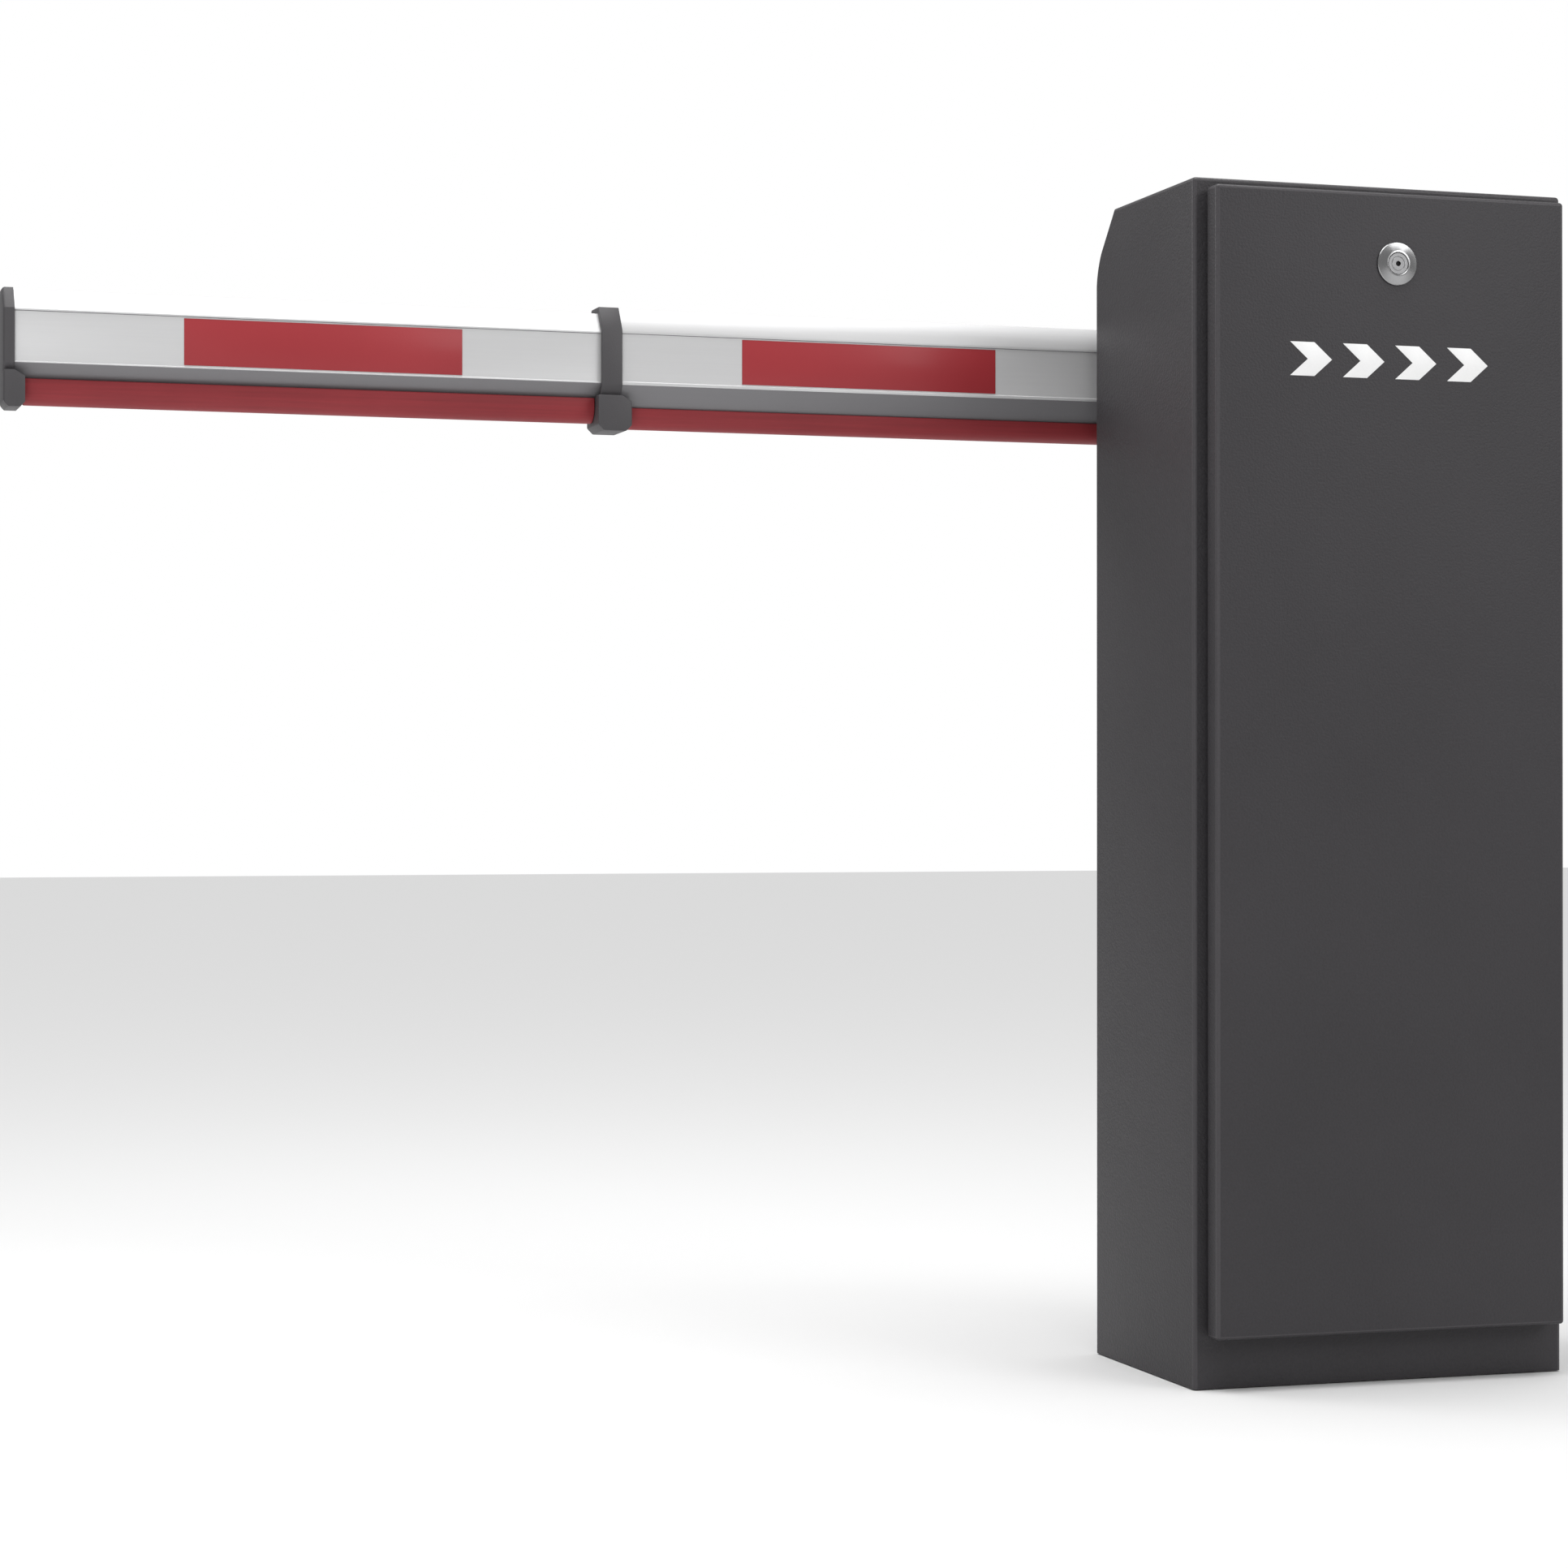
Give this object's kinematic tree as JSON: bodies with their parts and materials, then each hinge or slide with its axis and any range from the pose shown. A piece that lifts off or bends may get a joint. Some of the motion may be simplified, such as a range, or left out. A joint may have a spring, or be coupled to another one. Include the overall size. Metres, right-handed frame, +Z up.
{
  "type": "parking barrier gate",
  "caption": "Parking barrier gate: graphite steel cabinet with a lockable lift-off door, geared spring-balanced boom shaft and a telescopic aluminium boom with red rubber edge",
  "frame": {"origin": "on the ground at the middle of the anchor hole pattern in the cabinet's base plate", "axes": "+X from the boom towards the cabinet (the lowered boom points along -X), +Y from the door to the back wall and the boom, +Z up"},
  "size_m": [1.281, 0.3235, 1],
  "materials": {
    "graphite_coat": "fine textured satin powder coat",
    "bare_steel": "machined",
    "zinc_steel": "zinc plated",
    "cast_grey": "painted casting",
    "cast_alu": "as cast",
    "gear_bronze": "machined bronze",
    "spring_steel": "black spring wire",
    "boom_alu": "satin anodised extrusion",
    "red_rubber": "extruded",
    "black_rubber": "moulded",
    "red_film": "reflective film",
    "grey_plastic": "moulded",
    "white_plastic": "moulded",
    "dark_plastic": "moulded",
    "orange_plastic": "moulded",
    "lock_chrome": "polished"
  },
  "bodies": {
    "cabinet": {"cabinet_shell": "graphite_coat", "front_frame": "graphite_coat", "base_plate": "zinc_steel", "cable_grommet": "black_rubber", "rear_bearing_plate": "zinc_steel", "front_bearing_plate": "zinc_steel", "spacer_posts": "zinc_steel", "plate_bolts": "zinc_steel", "rear_bearing": "cast_grey", "front_bearing": "cast_grey", "gearbox_housing": "cast_alu", "gearbox_cover": "cast_alu", "motor_case": "cast_grey", "spring_eyebolts": "zinc_steel", "eyebolt_nuts": "zinc_steel", "spring_beam": "graphite_coat", "stop_brackets": "bare_steel", "stop_buffers": "black_rubber", "limit_switches": "dark_plastic", "panel_plate": "zinc_steel", "panel_standoffs": "zinc_steel", "controller_box": "dark_plastic", "power_supply": "cast_alu", "din_rail": "zinc_steel", "circuit_breaker": "white_plastic", "terminal_blocks": "white_plastic", "hinge_brackets": "bare_steel", "hinge_pins": "zinc_steel", "balance_springs": "spring_steel"},
    "boom": {"main_shaft": "bare_steel", "worm_wheel": "gear_bronze", "balance_lever": "zinc_steel", "lever_pin": "bare_steel", "limit_cams": "white_plastic", "hub_flange": "graphite_coat", "boom_holder": "graphite_coat", "clamp_plate": "graphite_coat", "clamp_bolts": "zinc_steel", "root_section": "boom_alu", "root_bumper": "red_rubber", "root_reflector": "red_film", "joint_collar": "grey_plastic"},
    "tip": {"tip_section": "boom_alu", "tip_bumper": "red_rubber", "tip_reflector": "red_film", "end_cap": "grey_plastic"},
    "hanger": {"spring_hanger": "bare_steel"},
    "worm": {"worm_shaft": "bare_steel", "handwheel": "orange_plastic"},
    "door": {"door_panel": "graphite_coat", "door_gasket": "black_rubber", "door_hooks": "zinc_steel", "door_decal": "white_plastic", "lock_housing": "lock_chrome", "lock_nut": "zinc_steel"},
    "lock": {"lock_plug": "lock_chrome", "lock_cam": "zinc_steel", "cam_screw": "zinc_steel"}
  },
  "joints": [
    {"name": "boom_hinge", "type": "hinge", "parent": "cabinet", "child": "boom", "pos_m": [0, 0.1, 0.863], "axis": [0, 1, 0], "range_deg": [0, 90], "deforming": ["balance_springs"]},
    {"name": "tip_slide", "type": "slide", "parent": "boom", "child": "tip", "axis": [-1, 0, 0], "range_m": [0, 0.25]},
    {"name": "hanger_pivot", "type": "hinge", "parent": "boom", "child": "hanger", "pos_m": [0.06364, -0.04, 0.92664], "axis": [0, 1, 0], "range_deg": [-90, 0]},
    {"name": "worm_spin", "type": "hinge", "parent": "cabinet", "child": "worm", "pos_m": [0, 0.056, 0.8044], "axis": [1, 0, 0], "range_deg": [0, 2700]},
    {"name": "door_hinge", "type": "hinge", "parent": "cabinet", "child": "door", "pos_m": [0, -0.098, 0.054], "axis": [1, 0, 0], "range_deg": [0, 20]},
    {"name": "lock_turn", "type": "hinge", "parent": "door", "child": "lock", "pos_m": [0.0035, -0.12, 0.932], "axis": [0, -1, 0], "range_deg": [0, 90]}
  ],
  "couplings": [
    {"joint": "hanger_pivot", "follows": "boom_hinge", "ratio": -1},
    {"joint": "worm_spin", "follows": "boom_hinge", "ratio": 30}
  ]
}
